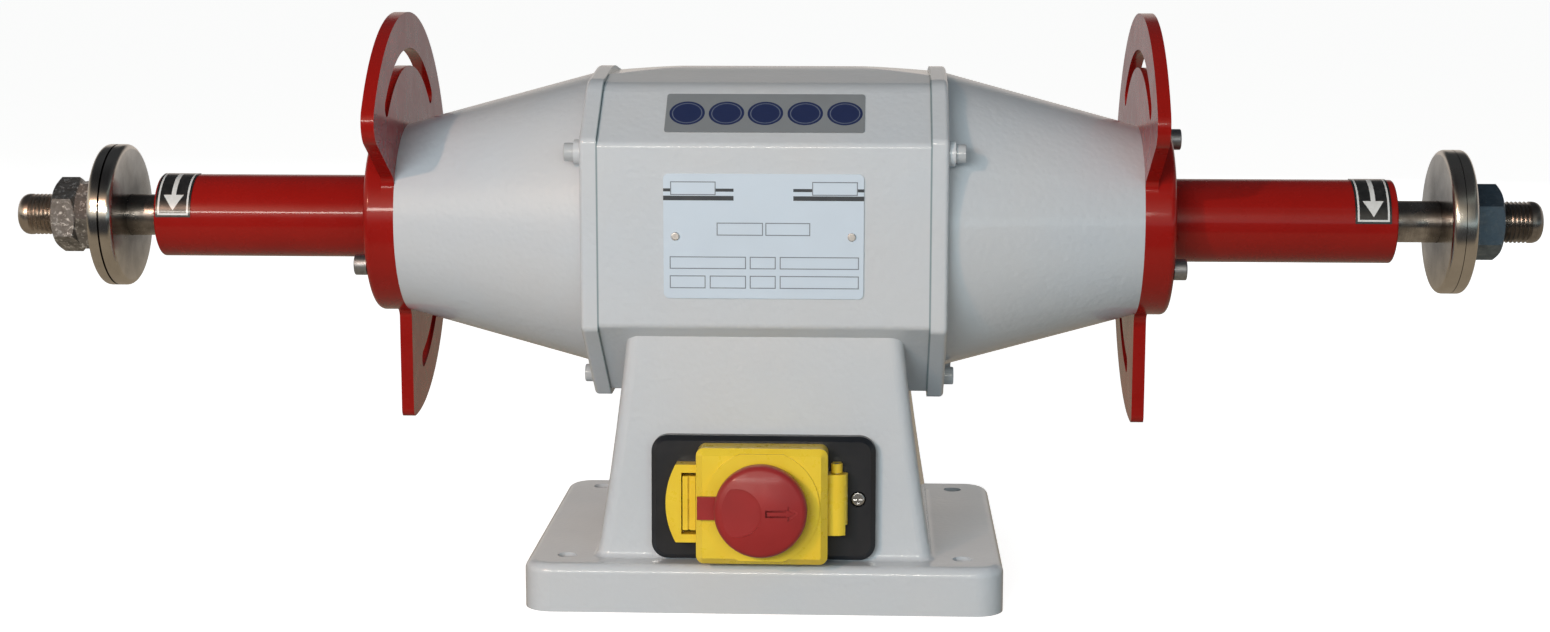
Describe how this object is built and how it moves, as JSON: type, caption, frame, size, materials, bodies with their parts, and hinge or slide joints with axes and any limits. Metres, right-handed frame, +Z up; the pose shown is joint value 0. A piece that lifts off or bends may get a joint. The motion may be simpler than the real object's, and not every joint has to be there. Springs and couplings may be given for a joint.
{
  "type": "bench polishing lathe",
  "caption": "Double-ended bench polishing lathe on a pedestal, with tapered motor housing, red spindle tubes, slotted guard plates, wheel flanges and a lidded emergency switch.",
  "frame": {"origin": "centre of the four base holes, on the underside of the base, below the middle of the spindle", "axes": "+X along the spindle to the right, +Y to the back, -Y to the switch side, +Z up"},
  "size_m": [0.738, 0.2123, 0.272],
  "materials": {
    "body_paint": "textured pale grey enamel",
    "zinc_sheet": "zinc plated sheet",
    "zinc_screws": "bright zinc",
    "black_plastic": "matt black",
    "capacitor_can": "pale plastic can",
    "terminal_plastic": "off-white",
    "lamination": "electrical steel",
    "copper": "varnished copper",
    "rotor_metal": "steel stack, aluminium rings",
    "spindle_steel": "ground steel",
    "spring_steel": "blackened",
    "bearing_steel": "polished",
    "nameplate": "satin",
    "strip": "mid-grey film, blue discs",
    "switch_black": "satin black",
    "tab_brass": "plain",
    "switch_yellow": "gloss yellow",
    "start_green": "gloss green",
    "stop_red": "gloss red",
    "mushroom_red": "satin red",
    "nut_grey": "greasy zinc",
    "nut_zinc": "bluish zinc",
    "red_paint": "gloss red",
    "seal_rubber": "black",
    "flange_nickel": "polished",
    "arrow_film": "black film, pale arrow"
  },
  "bodies": {
    "machine": {"base_pedestal": "body_paint", "bottom_cover": "zinc_sheet", "bottom_cover_screws": "zinc_screws", "mount_bolts": "zinc_screws", "cable_gland": "black_plastic", "gland_cap": "black_plastic", "gland_nut": "black_plastic", "capacitor": "capacitor_can", "capacitor_clip": "zinc_sheet", "terminal_block": "terminal_plastic", "motor_housing": "body_paint", "stator_core": "lamination", "stator_windings": "copper", "nameplate": "nameplate", "nameplate_rivets": "zinc_screws", "symbol_strip": "strip", "switch_faceplate": "switch_black", "faceplate_screws": "zinc_screws", "switch_body": "black_plastic", "switch_tabs": "tab_brass", "hinge_pin": "zinc_screws", "lock_lug": "switch_yellow", "start_spring": "spring_steel", "stop_spring": "spring_steel", "end_bell_left": "body_paint", "end_bell_right": "body_paint", "end_bell_screws_left": "zinc_screws", "end_bell_screws_right": "zinc_screws", "guard_plate_left": "red_paint", "guard_plate_right": "red_paint", "spindle_tube_left": "red_paint", "spindle_tube_right": "red_paint", "tube_screws_left": "zinc_screws", "tube_screws_right": "zinc_screws", "dust_seal_left": "seal_rubber", "dust_seal_right": "seal_rubber", "bearing_outer_left": "bearing_steel", "bearing_outer_right": "bearing_steel", "arrow_label_left": "arrow_film", "arrow_label_right": "arrow_film"},
    "spindle_body": {"spindle": "spindle_steel", "rotor_core": "rotor_metal", "spindle_clips": "spring_steel", "bearing_inner_left": "bearing_steel", "bearing_inner_right": "bearing_steel", "bearing_balls": "bearing_steel", "inner_flange_left": "flange_nickel", "inner_flange_right": "flange_nickel"},
    "left_clamp": {"outer_flange_left": "flange_nickel", "left_nut": "nut_grey", "left_lock_nut": "nut_grey"},
    "right_clamp": {"outer_flange_right": "flange_nickel", "right_nut": "nut_zinc"},
    "start": {"start_button": "start_green"},
    "stop": {"stop_button": "stop_red"},
    "lid": {"switch_lid": "switch_yellow"},
    "release": {"release_slide": "mushroom_red"},
    "mushroom": {"mushroom_button": "mushroom_red", "mushroom_spring": "spring_steel"}
  },
  "joints": [
    {"name": "spindle_spin", "type": "hinge", "parent": "machine", "child": "spindle_body", "pos_m": [0, 0, 0.173], "axis": [1, 0, 0], "continuous": true},
    {"name": "left_clamp_slide", "type": "slide", "parent": "spindle_body", "child": "left_clamp", "axis": [-1, 0, 0], "range_m": [0, 0.019]},
    {"name": "right_clamp_slide", "type": "slide", "parent": "spindle_body", "child": "right_clamp", "axis": [1, 0, 0], "range_m": [0, 0.02]},
    {"name": "start_press", "type": "slide", "parent": "machine", "child": "start", "axis": [0, 0.9991, -0.0415], "range_m": [0, 0.003], "stiffness_N_per_m": 500, "deforming": ["start_spring"]},
    {"name": "stop_press", "type": "slide", "parent": "machine", "child": "stop", "axis": [0, 0.9991, -0.0415], "range_m": [0, 0.003], "stiffness_N_per_m": 500, "deforming": ["stop_spring"]},
    {"name": "lid_hinge", "type": "hinge", "parent": "machine", "child": "lid", "pos_m": [0.0339, -0.08609, 0.05171], "axis": [0, 0.0415, 0.9991], "range_deg": [0, 100]},
    {"name": "release_push", "type": "slide", "parent": "lid", "child": "release", "axis": [1, 0, 0], "range_m": [0, 0.003], "stiffness_N_per_m": 500},
    {"name": "mushroom_press", "type": "slide", "parent": "release", "child": "mushroom", "axis": [0, 0.9991, -0.0415], "range_m": [0, 0.004], "stiffness_N_per_m": 700, "deforming": ["mushroom_spring"]}
  ]
}
